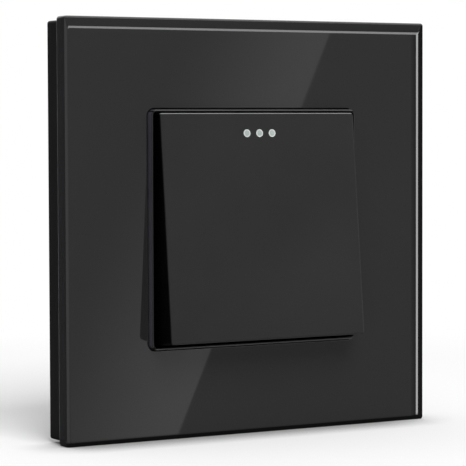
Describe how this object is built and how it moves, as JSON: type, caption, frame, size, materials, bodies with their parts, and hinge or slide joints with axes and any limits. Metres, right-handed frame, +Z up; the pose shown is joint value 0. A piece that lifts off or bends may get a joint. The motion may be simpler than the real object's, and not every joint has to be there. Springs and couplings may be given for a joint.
{
  "type": "rocker light switch",
  "caption": "Flush wall light switch: square glass front with a shallow bevel, slim collar, full-height rocker with three small dots, plate, hooks and a changeover contact mechanism behind",
  "frame": {"origin": "Midway between the two box screw slots, on the wall plane, which is the back of the mounting plate and of the frame's rim", "axes": "+X to the right seen from the front, +Y into the wall, +Z up; the glass front looks along -Y"},
  "size_m": [0.086, 0.0324, 0.086],
  "materials": {
    "panel_glass": "black back-coated glass, polished, opaque",
    "tape_foam": "black adhesive foam",
    "frame_plastic": "black, fine satin",
    "plate_steel": "zinc-plated sheet",
    "collar_plastic": "black, satin gloss",
    "screw_steel": "zinc-plated screws",
    "rocker_plastic": "black, fine matt face",
    "indicator_plastic": "pale translucent, glows faintly in the dark",
    "carrier_nylon": "natural nylon",
    "plunger_acetal": "white acetal",
    "spring_steel": "drawn spring wire",
    "housing_nylon": "light grey moulded nylon",
    "terminal_brass": "pressed and machined brass",
    "contact_silver": "silver alloy rivets"
  },
  "bodies": {
    "housing": {"glass_panel": "panel_glass", "panel_tape": "tape_foam", "panel_frame": "frame_plastic", "mounting_plate": "plate_steel", "rocker_collar": "collar_plastic", "collar_screws": "screw_steel", "mechanism_cover": "housing_nylon", "mechanism_housing": "housing_nylon", "housing_screws": "screw_steel", "switched_terminal_1": "terminal_brass", "switched_terminal_2": "terminal_brass", "common_terminal": "terminal_brass", "terminal_pillars": "terminal_brass", "terminal_screws": "screw_steel", "fixed_contacts": "contact_silver"},
    "rocker": {"rocker_cap": "rocker_plastic", "indicator_insert": "indicator_plastic", "rocker_carrier": "carrier_nylon", "plunger_spring": "spring_steel"},
    "plunger": {"plunger": "plunger_acetal"},
    "lever": {"contact_lever": "terminal_brass", "moving_contacts": "contact_silver"}
  },
  "joints": [
    {"name": "rocker_tilt", "type": "hinge", "parent": "housing", "child": "rocker", "pos_m": [0, -0.0094, 0], "axis": [1, 0, 0], "range_deg": [0, 11]},
    {"name": "lever_tilt", "type": "hinge", "parent": "housing", "child": "lever", "pos_m": [0, 0.01055, 0], "axis": [1, 0, 0], "range_deg": [-10, 0]},
    {"name": "plunger_slide", "type": "slide", "parent": "rocker", "child": "plunger", "axis": [0, 0.9954, -0.0958], "range_m": [-0.0015, 0.0001], "stiffness_N_per_m": 300, "deforming": ["plunger_spring"]}
  ],
  "couplings": [
    {"joint": "lever_tilt", "follows": "rocker_tilt", "ratio": -0.90909}
  ]
}
